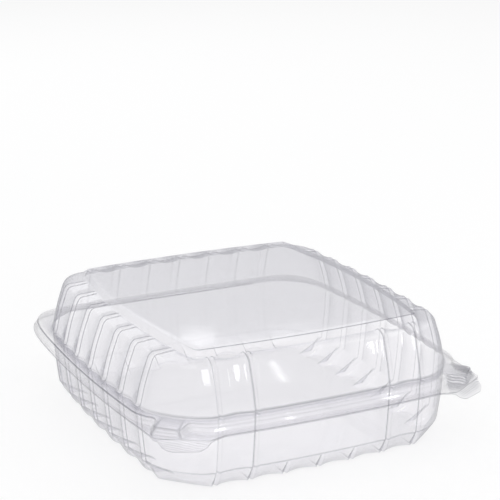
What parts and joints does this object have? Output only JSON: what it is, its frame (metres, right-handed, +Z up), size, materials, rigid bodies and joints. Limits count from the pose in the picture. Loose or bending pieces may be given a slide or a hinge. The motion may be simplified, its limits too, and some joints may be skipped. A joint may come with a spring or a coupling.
{
  "type": "hinged plastic container",
  "caption": "Square clear plastic food container in one formed sheet: fluted tray, domed fluted lid on a hinge fold, corner snap buttons and lift tabs.",
  "frame": {"origin": "centre of the tray's floor, on the surface it stands on", "axes": "+X to the right along the front edge, +Y back towards the hinge, +Z up"},
  "size_m": [0.2136, 0.233, 0.0768],
  "materials": {
    "tray_sheet": "clear gloss",
    "lid_sheet": "clear gloss",
    "hinge_fold": "clear gloss"
  },
  "bodies": {
    "tray": {"tray": "tray_sheet", "living_hinge": "hinge_fold"},
    "lid": {"lid": "lid_sheet"}
  },
  "joints": [
    {"name": "lid_hinge", "type": "hinge", "parent": "tray", "child": "lid", "pos_m": [0, 0.1148, 0.0384], "axis": [-1, 0, 0], "range_deg": [0, 180]}
  ]
}
